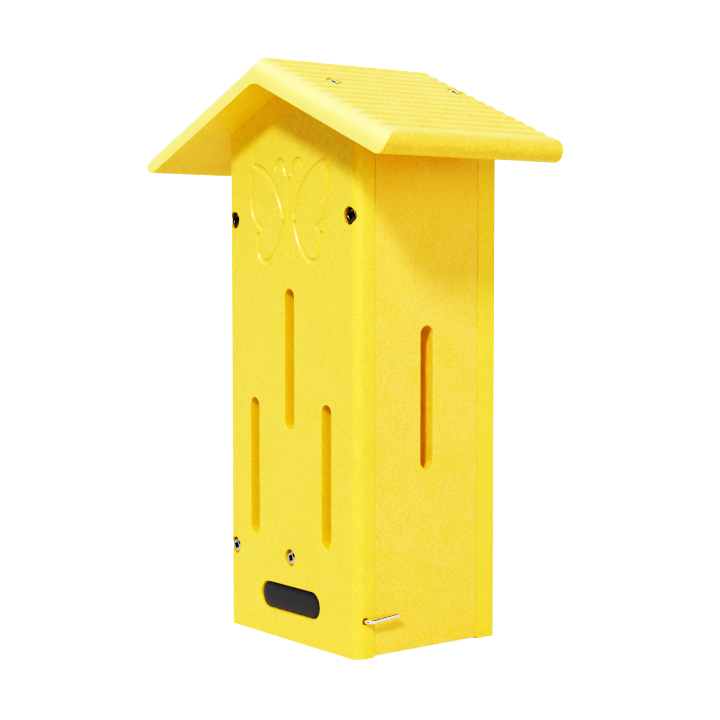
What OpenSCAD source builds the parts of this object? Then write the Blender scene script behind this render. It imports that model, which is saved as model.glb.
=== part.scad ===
// Butterfly house of plastic lumber: a gabled box with tall entry slots, a reeded roof,
// a raised floor and a side door that swings on two screws behind a turning wire latch.
// X runs across the front, Y from front to back and Z up. The origin lies on the ground,
// below the middle of the roof.

/* [House] */
// Width across the front and back panels
house_w = 121; // [110:0.5:140]
// Depth from the front panel's face to the back panel's back
house_d = 98; // [85:0.5:130]
// Thickness of every board
board_t = 12.7; // [11:0.1:14]
// Height of the roof's underside at the ridge
ridge_h = 308; // [295:0.5:340]
// Radius of the front panel's rounded outer corners
corner_r = 7.5; // [5:0.1:9]
// How far back from the face that rounding reaches
corner_depth = 6.3; // [4:0.1:7.5]
// Height of the side board's and the door's lower edge above the ground
side_lift = 1; // [0.5:0.1:4]

/* [Roof] */
// Slope of each roof board, in degrees
roof_slope = 22.7; // [18:0.1:30]
// Length of a roof board's underside from ridge to eave
roof_run = 120; // [105:0.5:140]
// Width of the flat where the boards meet under the ridge
ridge_flat = 6; // [0.5:0.5:10]
// How far the roof stands out in front of the front panel
roof_overhang = 23.4; // [12:0.1:35]
// Radius of the eave's two rounded edges
eave_r = 6.2; // [2:0.1:6.3]
// Radius of the roof's rounded top front edge
front_edge_r = 9.5; // [3:0.1:10]
// Spacing of the reeds on the roof
reed_pitch = 8.7; // [6:0.1:12]
// Height of a reed above the valley beside it
reed_h = 1; // [0.5:0.1:1.5]
// Smooth strip from the eave's edge to the first valley
reed_margin = 14.7; // [10:0.1:20]
// Distance of the roof screws from the ridge, across the house
roof_screw_x = 33; // [25:0.5:45]

/* [Slots] */
// Width of an entry slot
slot_w = 8.8; // [7:0.1:11]
// Length of an entry slot over its round ends
slot_len = 77.8; // [60:0.1:90]
// Height of the middle slot's centre
middle_slot_z = 157.3; // [145:0.1:165]
// Height of the two lower slots' centres
lower_slot_z = 95.2; // [92:0.1:105]
// Distance of the two lower slots from the middle of the front
lower_slot_x = 34; // [25:0.5:37]
// Height of the slots' centres in the side board and the door
side_slot_z = 137.6; // [120:0.1:160]

/* [Door] */
// Height of the door's two pivot screws, and of the side board's upper screws
pivot_z = 235; // [220:0.5:245]
// Gap between the door and the front panel
door_front_gap = 0.3; // [0.2:0.1:1]
// Gap between the door and the back panel
door_back_gap = 1; // [0.3:0.1:2]
// Gap between the door's top and the roof, along the height
door_top_gap = 1.5; // [1:0.1:4]

/* [Floor] */
// Height of the middle of the raised floor board
floor_z = 46.5; // [40:0.5:50]
// Gap between the floor's end and the closed door
floor_end_gap = 0.4; // [0.2:0.1:1]

/* [Screws] */
// Diameter of a screw's head
head_d = 8.6; // [7:0.1:9]
// Height of a screw's head
head_h = 3; // [2:0.1:4]
// Depth of a head's top below the board's face
head_recess = 0.8; // [0.2:0.1:2]
// Space around a head in its counterbore
head_clear = 0.5; // [0.2:0.1:0.8]
// Diameter of a screw's shank
shank_d = 3.8; // [3:0.1:4.5]
// Length of a screw below its head
shank_len = 30; // [24:0.5:34]
// Length of a screw's point
point_len = 5; // [3:0.5:7]
// Width of the square drive recess
drive_w = 2.8; // [2.2:0.1:3.2]
// Depth of the square drive recess
drive_depth = 1.9; // [1:0.1:1.9]
// Space around a shank in its hole
shank_clear = 0.05; // [0.02:0.01:0.1]

/* [Latch] */
// Diameter of the latch's wire
wire_d = 2.4; // [2:0.1:3]
// Height of the latch's shank
latch_z = 20.3; // [18:0.1:30]
// Length of the shank inside the front panel
latch_reach = 14; // [10:0.5:18]
// Distance of the arm's centre from the side of the house
latch_stand = 4; // [3.9:0.1:6]
// Length of the arm from the shank's centre to its end
latch_arm = 19; // [14:0.5:24]
// Bend radius at the middle of the wire
latch_bend = 3; // [2:0.1:3.5]
// Rise of the arm towards its end, in degrees
latch_rise = 5; // [0:0.5:10]
// Space around the shank in its hole
latch_clear = 0.3; // [0.25:0.05:0.5]
// Diameter of the wider mouth of the latch's hole
latch_mouth_d = 3.9; // [3.6:0.1:5]
// Depth of that mouth
latch_mouth_depth = 2; // [1:0.1:3]

/* [Badge] */
// Length of the blank oval badge
badge_len = 55; // [40:0.5:70]
// Height of the badge
badge_h = 14.4; // [10:0.1:18]
// Thickness of the badge
badge_t = 1.3; // [0.8:0.1:2]
// Height of the badge's centre
badge_z = 22.9; // [20:0.1:25]
// Depth of the pocket that the badge lies in
pocket_depth = 1.5; // [1:0.1:2.5]
// Space around the badge in its pocket
pocket_clear = 0.6; // [0.2:0.1:1]

/* [Engraving] */
// Width of the engraved butterfly
butterfly_w = 73; // [66:0.5:80]
// Height of the butterfly's centre
butterfly_z = 238; // [230:0.5:245]
// Width of the engraved line
line_w = 2.8; // [1.5:0.1:3.2]
// Depth of the engraved line
line_depth = 1; // [0.5:0.1:2]

/* [Back] */
// Diameter of the two mounting holes in the back panel
mount_hole_d = 5.2; // [4:0.1:7]
// Height of the lower mounting hole
mount_hole_z = 95; // [85:1:110]
// Distance between the two mounting holes
mount_hole_spacing = 130; // [100:1:150]

/* [Hidden] */
$fn = 64;
eps = 0.01;
tall = 400;

// Front and back of the roof, and of the box below it
roof_d = house_d + roof_overhang;
roof_front_y = -roof_d / 2;
back_y = roof_d / 2;
front_y = back_y - house_d;
inner_front_y = front_y + board_t;
inner_back_y = back_y - board_t;

// Sides of the box
half_w = house_w / 2;
inner_x = half_w - board_t;
side_x = half_w - board_t / 2;

// The door fills the right side, less its gaps
door_front_y = inner_front_y + door_front_gap;
door_back_y = inner_back_y - door_back_gap;
door_depth = door_back_y - door_front_y;
door_mid_y = (door_front_y + door_back_y) / 2;

// Rounded edges stay inside the boards that they belong to
corner_back = min(corner_depth, corner_r);
eave_round = min(eave_r, board_t / 2 - eps);
front_round = min(front_edge_r, board_t - eps);

// Reeds: radius of a reed's arc, first valley and number of valleys
reed_r = (reed_pitch * reed_pitch / 4 + reed_h * reed_h) / (2 * reed_h);
first_valley = roof_run - reed_margin;
ridge_s = -board_t * tan(roof_slope);
reed_count = floor((first_valley - ridge_s) / reed_pitch) + 1;

// Drop of the flat under the ridge, and its end along a roof board
flat_drop = ridge_flat / 2 * tan(roof_slope);
flat_end = ridge_flat / 2 / cos(roof_slope);

// Place of the roof screws along a roof board, on its top, and from front to back
roof_screw_s = (roof_screw_x - board_t * sin(roof_slope)) / cos(roof_slope);
roof_screw_front_y = front_y + board_t / 2;
roof_screw_back_y = back_y - board_t / 2;

// Screw head: radius of its flat crown and of its shoulder, as shares of its diameter,
// and how far the shoulder and the rim lie below the crown, as shares of its height
crown_share = 0.32;
shoulder_share = 0.44;
shoulder_drop = 0.2;
rim_drop = 0.55;

// Colours
yellow = "#f3df45";
yellow_roof = "#f5e860";
steel = "#c9ccd0";
black = "#26262a";
badge_grey = "#34353a";

// Butterfly strokes for its right half, as Bezier points in a drawing 73 wide
drawing_w = 73;
stroke_steps = 14;
cap_steps = 6;
butterfly_strokes = [
    [[5.5, -1], [9, 12], [19, 24], [32.5, 27]],
    [[36, 22.5], [37, 12], [38, -2], [26, -8]],
    [[30, -12], [30, -34], [14, -32], [5.5, -6]],
    [[2.5, 21.5], [4, 28], [9, 31], [12, 26]]
];
body_stroke = [[0, 18], [0, 5], [0, -10], [0, -23]];

// Outline of the house seen from the front, up to the roof's underside
module gable_outline(half, bottom, top_gap) {
    edge_z = ridge_h - half * tan(roof_slope) - top_gap;
    flat_z = ridge_h - flat_drop - top_gap;
    polygon([[-half, bottom], [half, bottom], [half, edge_z],
        [ridge_flat / 2, flat_z], [-ridge_flat / 2, flat_z], [-half, edge_z]]);
}

// The same outline as a block from y0 to y1
module gable_block(half, bottom, top_gap, y0, y1) {
    translate([0, y1, 0]) rotate([90, 0, 0])
        linear_extrude(height = y1 - y0) gable_outline(half, bottom, top_gap);
}

// Plan of the front panel: face on y = 0, outer corners rounded
module panel_plan() {
    intersection() {
        translate([-half_w, 0]) square([house_w, board_t]);
        union() {
            translate([-half_w, corner_back]) square([house_w, board_t - corner_back]);
            translate([-half_w + corner_r, 0]) square([house_w - 2 * corner_r, board_t]);
            for (side = [-1, 1])
                translate([side * (half_w - corner_r), corner_back]) circle(r = corner_r);
        }
    }
}

module front_blank() {
    intersection() {
        gable_block(half_w, 0, 0, front_y, inner_front_y);
        translate([0, front_y, -eps]) linear_extrude(height = tall) panel_plan();
    }
}

// Slot cutter with round ends, its centre at the origin, cut along +Z
module slot_cutter(depth) {
    linear_extrude(height = depth) {
        square([slot_w, slot_len - slot_w], center = true);
        for (side = [-1, 1])
            translate([0, side * (slot_len - slot_w) / 2]) circle(d = slot_w);
    }
}

module front_slot(x, z) {
    translate([x, front_y - eps, z]) rotate([90, 0, 180]) slot_cutter(board_t + 2 * eps);
}

module side_slot(x) {
    translate([x, door_mid_y, side_slot_z]) rotate([90, 0, 90]) slot_cutter(board_t + 2 * eps);
}

// Square-drive screw, its axis along +Z and the board's face on z = 0
module screw(turn) {
    head_z = head_recess;
    seat_z = head_z + head_h;
    end_z = seat_z + shank_len;
    difference() {
        rotate_extrude() polygon([
            [0, head_z], [head_d * crown_share, head_z],
            [head_d * shoulder_share, head_z + head_h * shoulder_drop],
            [head_d / 2, head_z + head_h * rim_drop], [head_d / 2, seat_z], [shank_d / 2, seat_z],
            [shank_d / 2, end_z - point_len], [0, end_z]]);
        rotate([0, 0, turn]) translate([-drive_w / 2, -drive_w / 2, head_z - eps])
            cube([drive_w, drive_w, drive_depth + eps]);
    }
}

// Counterbore and pilot hole for that screw
module screw_hole() {
    seat_z = head_recess + head_h;
    translate([0, 0, -1]) cylinder(h = seat_z + 1, d = head_d + 2 * head_clear);
    cylinder(h = seat_z + shank_len + shank_clear, d = shank_d + 2 * shank_clear);
}

module at_front(x, z) {
    translate([x, front_y, z]) rotate([-90, 0, 0]) children();
}

module at_back(x, z) {
    translate([x, back_y, z]) rotate([90, 0, 0]) children();
}

// Slope coordinates of the right roof board: X down the slope, Z away from its underside
module on_slope() {
    translate([0, 0, ridge_h]) rotate([0, roof_slope, 0]) children();
}

module at_roof(side, y) {
    mirror([side < 0 ? 1 : 0, 0, 0]) on_slope()
        translate([roof_screw_s, y, board_t]) rotate([180, 0, 0]) children();
}

module all_roof_screw_holes() {
    for (side = [-1, 1], y = [roof_screw_front_y, roof_screw_back_y])
        at_roof(side, y) screw_hole();
}

// Section of a roof board: reeded top, rounded eave, mitred at the ridge with half of the flat
module roof_section() {
    low_t = board_t - reed_h;
    end_s = roof_run - eave_round;
    flat_corner = [flat_drop * sin(roof_slope), -flat_drop * cos(roof_slope)];
    intersection() {
        polygon([flat_corner, [flat_end, 0], [roof_run, 0], [roof_run, board_t], [ridge_s, board_t]]);
        union() {
            translate([ridge_s, -flat_drop]) square([end_s - ridge_s, low_t + flat_drop]);
            for (i = [0 : reed_count])
                translate([first_valley + (0.5 - i) * reed_pitch, board_t - reed_r])
                    intersection() {
                        circle(r = reed_r, $fn = 128);
                        translate([-reed_pitch / 2, 0]) square([reed_pitch, reed_r]);
                    }
            translate([first_valley + reed_pitch / 2, 0])
                square([end_s - first_valley - reed_pitch / 2, board_t]);
            translate([end_s, eave_round]) square([eave_round, board_t - 2 * eave_round]);
            for (h = [eave_round, board_t - eave_round])
                translate([end_s, h]) circle(r = eave_round);
        }
    }
}

// Cutter that rounds the top front edge of a roof board
module front_edge_cutter() {
    translate([ridge_s - 1, 0, 0]) rotate([90, 0, 90])
        linear_extrude(height = roof_run - ridge_s + 2) difference() {
            translate([roof_front_y - 1, board_t - front_round]) square([front_round + 1, front_round + 1]);
            translate([roof_front_y + front_round, board_t - front_round]) circle(r = front_round);
        }
}

module roof_board(side) {
    color(yellow_roof) difference() {
        mirror([side < 0 ? 1 : 0, 0, 0]) on_slope() difference() {
            translate([0, back_y, 0]) rotate([90, 0, 0]) linear_extrude(height = roof_d) roof_section();
            front_edge_cutter();
        }
        for (y = [roof_screw_front_y, roof_screw_back_y]) at_roof(side, y) screw_hole();
    }
}

// Point, and point moved sideways by w, at t along a Bezier stroke
function bezier(p, t) = pow(1 - t, 3) * p[0] + 3 * pow(1 - t, 2) * t * p[1]
    + 3 * (1 - t) * t * t * p[2] + t * t * t * p[3];
function tangent(p, t) = pow(1 - t, 2) * (p[1] - p[0]) + 2 * (1 - t) * t * (p[2] - p[1])
    + t * t * (p[3] - p[2]);
function beside(p, t, w) = let (d = tangent(p, t)) bezier(p, t) + w * [-d.y, d.x] / norm(d);

// Points of a round end that turns about a centre, from a first angle through a half circle
function round_end(centre, first) = [for (k = [1 : cap_steps - 1])
    let (a = first - k * 180 / cap_steps) centre + line_w / 2 * [cos(a), sin(a)]];
function heading(p, t) = let (d = tangent(p, t)) atan2(d.y, d.x);

module stroke(p) {
    polygon(concat(
        [for (i = [0 : stroke_steps]) beside(p, i / stroke_steps, line_w / 2)],
        round_end(p[3], heading(p, 1) + 90),
        [for (i = [stroke_steps : -1 : 0]) beside(p, i / stroke_steps, -line_w / 2)],
        round_end(p[0], heading(p, 0) - 90)));
}

// Grooves of the engraved butterfly, cut into the front panel's face
module butterfly_grooves() {
    size = butterfly_w / drawing_w;
    translate([0, front_y + line_depth, butterfly_z]) rotate([90, 0, 0])
        linear_extrude(height = line_depth + 1) {
            for (side = [0, 1], p = butterfly_strokes) mirror([side, 0, 0]) stroke(p * size);
            stroke(body_stroke * size);
        }
}

// Oval of the badge and of its pocket, grown by a margin
module badge_oval(margin) {
    radius = badge_h / 2 + margin;
    square([badge_len - badge_h, 2 * radius], center = true);
    for (side = [-1, 1])
        translate([side * (badge_len - badge_h) / 2, 0]) circle(r = radius);
}

// Hole for the latch's shank in the front panel's right edge
module latch_hole() {
    shank_end = half_w - latch_reach - latch_clear;
    translate([shank_end, inner_front_y - board_t / 2, latch_z]) rotate([0, 90, 0]) {
        cylinder(h = latch_reach + 2 * latch_clear + 1, d = wire_d + 2 * latch_clear);
        translate([0, 0, latch_reach + latch_clear - latch_mouth_depth])
            cylinder(h = latch_mouth_depth + 1, d = latch_mouth_d);
    }
}

module front_panel() {
    color(yellow) difference() {
        front_blank();
        front_slot(0, middle_slot_z);
        for (side = [-1, 1]) front_slot(side * lower_slot_x, lower_slot_z);
        at_front(0, badge_z) translate([0, 0, -1]) linear_extrude(height = pocket_depth + 1)
            badge_oval(pocket_clear);
        butterfly_grooves();
        for (x = [-side_x, side_x]) at_front(x, pivot_z) screw_hole();
        at_front(-side_x, floor_z) screw_hole();
        at_front(0, floor_z) screw_hole();
        all_roof_screw_holes();
        latch_hole();
    }
}

module back_panel() {
    color(yellow) difference() {
        gable_block(half_w, 0, 0, inner_back_y, back_y);
        for (x = [-side_x, side_x]) at_back(x, pivot_z) screw_hole();
        at_back(-side_x, floor_z) screw_hole();
        at_back(0, floor_z) screw_hole();
        for (z = [mount_hole_z, mount_hole_z + mount_hole_spacing])
            translate([0, inner_back_y - 1, z]) rotate([-90, 0, 0])
                cylinder(h = board_t + 2, d = mount_hole_d);
        all_roof_screw_holes();
    }
}

module left_side() {
    color(yellow) difference() {
        intersection() {
            gable_block(half_w, side_lift, 0, inner_front_y, inner_back_y);
            translate([-half_w, inner_front_y, 0])
                cube([board_t, inner_back_y - inner_front_y, tall]);
        }
        side_slot(-half_w - eps);
        for (z = [pivot_z, floor_z]) {
            at_front(-side_x, z) screw_hole();
            at_back(-side_x, z) screw_hole();
        }
    }
}

module clean_out_door() {
    color(yellow) difference() {
        intersection() {
            gable_block(half_w, side_lift, door_top_gap, door_front_y, door_back_y);
            translate([inner_x, door_front_y, 0]) cube([board_t, door_depth, tall]);
        }
        side_slot(inner_x - eps);
        at_front(side_x, pivot_z) screw_hole();
        at_back(side_x, pivot_z) screw_hole();
    }
}

module floor_board() {
    color(yellow) difference() {
        translate([-inner_x, inner_front_y, floor_z - board_t / 2])
            cube([2 * inner_x - floor_end_gap, inner_back_y - inner_front_y, board_t]);
        at_front(0, floor_z) screw_hole();
        at_back(0, floor_z) screw_hole();
    }
}

module badge() {
    color(badge_grey) at_front(0, badge_z) translate([0, 0, pocket_depth - badge_t])
        linear_extrude(height = badge_t) badge_oval(0);
}

// Wire bent at a right angle: shank into the front panel, arm back along the door
module latch_hook() {
    bend_x = half_w + latch_stand - latch_bend;
    shank_l = latch_reach + latch_stand - latch_bend;
    color(steel) translate([0, inner_front_y - board_t / 2, latch_z]) rotate([latch_rise, 0, 0]) {
        translate([bend_x - shank_l, 0, 0]) rotate([0, 90, 0]) cylinder(h = shank_l, d = wire_d);
        translate([bend_x, latch_bend, 0]) intersection() {
            rotate_extrude() translate([latch_bend, 0]) circle(d = wire_d);
            translate([0, -2 * latch_bend, -wire_d]) cube([2 * latch_bend, 2 * latch_bend, 2 * wire_d]);
        }
        translate([bend_x + latch_bend, latch_bend, 0]) rotate([-90, 0, 0])
            cylinder(h = latch_arm - latch_bend, d = wire_d);
    }
}

front_panel();
back_panel();
left_side();
clean_out_door();
floor_board();
roof_board(-1);  // roof_board_left
roof_board(1);  // roof_board_right
badge();
latch_hook();
color(black) at_front(side_x, pivot_z) screw(40);  // pivot_screw_front
color(black) at_back(side_x, pivot_z) screw(20);  // pivot_screw_back
color(black) at_front(-side_x, pivot_z) screw(10);  // side_screw_front_upper
color(steel) at_front(-side_x, floor_z) screw(25);  // side_screw_front_lower
color(black) at_back(-side_x, pivot_z) screw(35);  // side_screw_back_upper
color(steel) at_back(-side_x, floor_z) screw(15);  // side_screw_back_lower
color(steel) at_front(0, floor_z) screw(15);  // floor_screw_front
color(steel) at_back(0, floor_z) screw(30);  // floor_screw_back
color(steel) at_roof(-1, roof_screw_front_y) screw(20);  // roof_screw_left_front
color(steel) at_roof(-1, roof_screw_back_y) screw(5);  // roof_screw_left_back
color(steel) at_roof(1, roof_screw_front_y) screw(30);  // roof_screw_right_front
color(steel) at_roof(1, roof_screw_back_y) screw(12);  // roof_screw_right_back
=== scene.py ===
import math

import bmesh
import bpy
from mathutils import Matrix, Vector


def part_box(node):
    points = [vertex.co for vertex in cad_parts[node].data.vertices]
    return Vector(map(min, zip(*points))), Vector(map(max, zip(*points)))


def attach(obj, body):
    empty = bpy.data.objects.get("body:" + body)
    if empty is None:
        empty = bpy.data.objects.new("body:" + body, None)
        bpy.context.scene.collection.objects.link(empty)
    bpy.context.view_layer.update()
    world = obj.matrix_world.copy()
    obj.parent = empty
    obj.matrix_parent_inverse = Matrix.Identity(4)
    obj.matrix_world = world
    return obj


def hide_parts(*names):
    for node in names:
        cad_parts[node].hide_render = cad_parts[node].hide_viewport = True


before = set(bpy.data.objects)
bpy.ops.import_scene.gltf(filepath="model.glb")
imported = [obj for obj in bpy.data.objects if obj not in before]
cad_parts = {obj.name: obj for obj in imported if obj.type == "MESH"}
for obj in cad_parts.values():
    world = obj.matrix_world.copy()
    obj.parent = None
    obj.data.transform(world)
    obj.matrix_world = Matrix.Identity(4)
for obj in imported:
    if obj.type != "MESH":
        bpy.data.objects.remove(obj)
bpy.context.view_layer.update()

# Lengths are written in millimetres and turned to metres with this factor
MM = 0.001

# House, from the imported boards
front_low, front_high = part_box("front_panel")
back_low, back_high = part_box("back_panel")
door_low, door_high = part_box("clean_out_door")
side_low, side_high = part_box("left_side")
floor_low, floor_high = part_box("floor_board")
badge_low, badge_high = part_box("badge")
roof_low, roof_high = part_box("roof_board_right")
HALF_W = front_high.x
FRONT_Y, INNER_FRONT_Y = front_low.y, front_high.y
INNER_BACK_Y, BACK_Y = back_low.y, back_high.y
BOARD_T = front_high.y - front_low.y
SIDE_X = HALF_W - BOARD_T / 2
DOOR_MID_Y = (door_low.y + door_high.y) / 2

# Roof: the ridge of its underside, its slope, and lengths down a board from the ridge to the eave. The
# reeds' crests lie a hair below the board's full thickness, so that no two faces coincide.
RIDGE_H = 308 * MM
ROOF_SLOPE = math.radians(22.7)
ROOF_SIN, ROOF_COS, ROOF_TAN = math.sin(ROOF_SLOPE), math.cos(ROOF_SLOPE), math.tan(ROOF_SLOPE)
ROOF_RUN = 120 * MM
RIDGE_FLAT = 6 * MM
RIDGE_DROP = RIDGE_FLAT / 2 * ROOF_TAN
EAVE_R = 6.2 * MM
FRONT_ROUND = 9.5 * MM
ROOF_EASE = 0.8 * MM
REED_PITCH = 8.7 * MM
REED_H = 1 * MM
REED_R = (REED_PITCH ** 2 / 4 + REED_H ** 2) / (2 * REED_H)
CREST_SINK = 0.005 * MM
FIRST_VALLEY = ROOF_RUN - 14.7 * MM
ROOF_FRONT_Y, ROOF_BACK_Y = roof_low.y, roof_high.y
ROOF_SCREW_X = 33 * MM

# Front panel's rounded outer corners
CORNER_R = 7.5 * MM
CORNER_DEPTH = 6.3 * MM
CORNER_STEPS = 12

# Small rounds on sawn edges and on the mouths of holes, and how far a cutter starts outside the face
ARRIS = 0.3 * MM
MOUTH_EASE = 0.5 * MM
CUTTER_LEAD = 1 * MM

# The door's joints with the front and back panels, which show as fine lines, and its gap under the roof
DOOR_GAP = 0.15 * MM
DOOR_TOP_GAP = 1.5 * MM

# Slots
SLOT_R = 4.4 * MM
SLOT_LEN = 77.8 * MM
MIDDLE_SLOT_Z = 157.3 * MM
LOWER_SLOT_X, LOWER_SLOT_Z = 34 * MM, 95.2 * MM
SIDE_SLOT_Z = 137.6 * MM

# Screws and their holes
HEAD_R, HEAD_H, HEAD_RECESS, HEAD_CLEAR = 4.3 * MM, 3 * MM, 0.8 * MM, 0.5 * MM
HEAD_EASE = 0.25 * MM
SHANK_R, SHANK_LEN, POINT_LEN, SHANK_CLEAR = 1.9 * MM, 30 * MM, 5 * MM, 0.05 * MM
DRIVE_W, DRIVE_DEPTH = 2.8 * MM, 1.9 * MM
PIVOT_Z, LOW_SCREW_Z = 235 * MM, 46.5 * MM
PANEL_SCREWS = [(-SIDE_X, PIVOT_Z), (SIDE_X, PIVOT_Z), (-SIDE_X, LOW_SCREW_Z), (0, LOW_SCREW_Z)]
MOUNT_HOLE_R, MOUNT_HOLE_Z = 2.6 * MM, (95 * MM, 225 * MM)

# Latch wire, and its hole in the edge of the front panel
WIRE_R, WIRE_BEND, WIRE_EASE = 1.2 * MM, 3 * MM, 0.3 * MM
LATCH_Y, LATCH_Z = INNER_FRONT_Y - BOARD_T / 2, 20.3 * MM
LATCH_REACH, LATCH_STAND, LATCH_ARM = 14 * MM, 4 * MM, 19 * MM
LATCH_RISE = math.radians(5)
LATCH_CLEAR, LATCH_MOUTH_R, LATCH_MOUTH_DEPTH, LATCH_EASE = 0.3 * MM, 1.95 * MM, 2 * MM, 0.3 * MM

# Badge and its pocket
BADGE_R, BADGE_Z = (badge_high.z - badge_low.z) / 2, (badge_low.z + badge_high.z) / 2
BADGE_REACH = (badge_high.x - badge_low.x) / 2 - BADGE_R
BADGE_EDGE, BADGE_CROWN, BADGE_STEPS = 1.15 * MM, 0.5 * MM, 24
POCKET_DEPTH, POCKET_CLEAR, POCKET_EASE = 1.5 * MM, 0.6 * MM, 0.4 * MM

# Butterfly: strokes of its right half as Bezier points, and its ball-nosed groove as depth and half width,
# in millimetres
BUTTERFLY_Z = 238 * MM
BUTTERFLY_STROKES = [
    [(5.5, -1), (9, 12), (19, 24), (32.5, 27)],
    [(36, 22.5), (37, 12), (38, -2), (26, -8)],
    [(30, -12), (30, -34), (14, -32), (5.5, -6)],
    [(2.5, 21.5), (4, 28), (9, 31), (12, 26)],
]
BODY_STROKE = [(0, 18), (0, 5), (0, -10), (0, -23)]
STROKE_STEPS = 28
GROOVE = [(-1.0, 2.7), (-0.1, 2.0), (0.08, 1.78), (0.35, 1.6), (0.62, 1.4), (0.82, 1.1), (0.95, 0.7),
          (1.0, 0.25)]

# Slow colour change over a board, and the strength of the painted light, a glow that is no lamp, on its
# inner faces
CLOUD_MM = 22
PAINTED_INNER_GLOW = 0.1

# Camera: its place, where it looks from, and its focal length in pixels of the photograph
CAMERA_PLACE = (0.7327332, -0.557757, 0.2081935)
CAMERA_AZIMUTH, CAMERA_ELEVATION = 52.114, 3.269
FOCAL_PX, PHOTO_PX, SENSOR_MM = 1627.24, 720, 36

# Light: the key, the soft boxes as azimuth, elevation, sharpness, strength and colour, the dark studio
# around them, and the paper floor
KEY_STRENGTH, KEY_SIZE, KEY_TRAVEL = 3.45, math.radians(10), (-0.430, 0.653, -0.623)
SOFT_BOXES = [
    (80, 0, 6, 4.9, "ffeec4"),
    (-45, 58, 12, 4.2, "ffffff"),
    (-52, 0, 8, 1.0, "ffffff"),
    (-128, 18, 5, 2.6, "ffffff"),
    (140, 18, 16, 2.4, "ffffff"),
]
STUDIO_FILL = 0.02
FLOOR_REACH, FLOOR_LIFT = 30, 1.8

# Tone: light that is rendered, and light that is shown
WHITE_LEVEL = 2.6
TONE = [(0, 0), (0.092, 0), (0.133, 0.0004), (0.193, 0.0035), (0.279, 0.0192), (0.405, 0.081),
        (0.588, 0.239), (0.852, 0.498), (1.236, 0.764), (1.793, 0.945), (2.6, 1)]


def linear(hex_colour):
    """An sRGB hex value as a linear colour with alpha."""
    values = [int(hex_colour[i:i + 2], 16) / 255 for i in (0, 2, 4)]
    return tuple(v / 12.92 if v <= 0.04045 else ((v + 0.055) / 1.055) ** 2.4 for v in values) + (1.0,)


def add(tree, kind, inputs=None, **settings):
    """Adds a node with its settings, and sets each input to a value or links it to one or more sockets."""
    node = tree.nodes.new(kind)
    for name, value in settings.items():
        setattr(node, name, value)
    for key, value in (inputs or {}).items():
        sources = value if isinstance(value, list) else [value]
        if isinstance(sources[0], bpy.types.NodeSocket):
            for source in sources:
                tree.links.new(source, node.inputs[key])
        else:
            node.inputs[key].default_value = value
    return node


# Meshes

def link(name, data):
    """A new object in the scene for a mesh, a light or a camera."""
    thing = bpy.data.objects.new(name, data)
    bpy.context.scene.collection.objects.link(thing)
    return thing


def made(name, bm):
    """A new piece from an edit mesh, which is freed."""
    mesh = bpy.data.meshes.new(name)
    bm.to_mesh(mesh)
    bm.free()
    return link(name, mesh)


def baked(piece):
    """Turns a piece's modifiers into its plain mesh."""
    bpy.context.view_layer.update()
    solid = piece.evaluated_get(bpy.context.evaluated_depsgraph_get())
    mesh = bpy.data.meshes.new_from_object(solid)
    piece.modifiers.clear()
    piece.data = mesh
    return piece


def grown(path, radius, cap_steps=12):
    """Closed outline at one distance all round an open path, with round ends. One point gives a circle."""
    path = [Vector(p) for p in path]
    last = len(path) - 1
    along = [path[min(i + 1, last)] - path[max(i - 1, 0)] for i in range(last + 1)]
    headings = [math.atan2(d.y, d.x) for d in along]
    outline = []
    for turn, order in ((math.pi / 2, range(last + 1)), (-math.pi / 2, range(last, -1, -1))):
        for i in order:
            angle = headings[i] + turn
            outline.append(path[i] + radius * Vector((math.cos(angle), math.sin(angle))))
        for k in range(1, cap_steps):
            a = angle - math.pi * k / cap_steps
            outline.append(path[i] + radius * Vector((math.cos(a), math.sin(a))))
    return outline


def loft(bm, levels, place):
    """Adds a closed solid through outlines at their depths, set in place by a matrix."""
    rings = [[bm.verts.new(place @ Vector((p.x, p.y, depth))) for p in outline] for depth, outline in levels]
    for near, far in zip(rings, rings[1:]):
        for i in range(len(near)):
            j = (i + 1) % len(near)
            bm.faces.new((near[i], near[j], far[j], far[i]))
    bm.faces.new(rings[0][::-1])
    bm.faces.new(rings[-1])


def facing(origin, across, up, into):
    """Matrix that takes across, up and depth on a board's face to the house."""
    columns = [Vector(v) for v in (across, up, into)]
    return Matrix([[c[row] for c in columns] + [origin[row]] for row in range(3)] + [[0, 0, 0, 1]])


def on_front(x, z):
    return facing((x, FRONT_Y, z), (1, 0, 0), (0, 0, 1), (0, 1, 0))


def on_back(x, z):
    return facing((x, BACK_Y, z), (1, 0, 0), (0, 0, 1), (0, -1, 0))


def on_side(side, y, z):
    return facing((side * HALF_W, y, z), (0, 1, 0), (0, 0, 1), (-side, 0, 0))


def on_roof(side, along, y):
    """Place on the top of a roof board, measured down the slope from the ridge of its underside."""
    down = Vector((side * ROOF_COS, 0, -ROOF_SIN))
    out = Vector((side * ROOF_SIN, 0, ROOF_COS))
    origin = Vector((0, y, RIDGE_H)) + down * along + out * BOARD_T
    return facing(origin, down, (0, 1, 0), -out)


def mouth(ease, steps=4):
    """Depths and margins of a hole's rounded mouth, from clear of the face to the hole's own wall."""
    angles = [math.pi / 2 * k / steps for k in range(steps + 1)]
    return [(-CUTTER_LEAD, ease)] + [(ease * (1 - math.cos(a)), ease * (1 - math.sin(a))) for a in angles]


def pocket(bm, path, radius, depth, place, ease=MOUTH_EASE, through=False):
    """Adds a cutter for a hole or pocket along a path. Its mouth is rounded, and so is the far one where it
    goes through."""
    profile = mouth(ease)
    if through:
        profile += [(depth - d, margin) for d, margin in profile[::-1]]
    else:
        profile.append((depth, 0))
    loft(bm, [(d, grown(path, radius + margin)) for d, margin in profile], place)


def slot(bm, place):
    reach = SLOT_LEN / 2 - SLOT_R
    pocket(bm, [(0, -reach), (0, reach)], SLOT_R, BOARD_T, place, through=True)


def bore(bm, profile, place):
    """Adds a round cutter that has each radius at its depth."""
    loft(bm, [(depth, grown([(0, 0)], radius, 16)) for depth, radius in profile], place)


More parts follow.
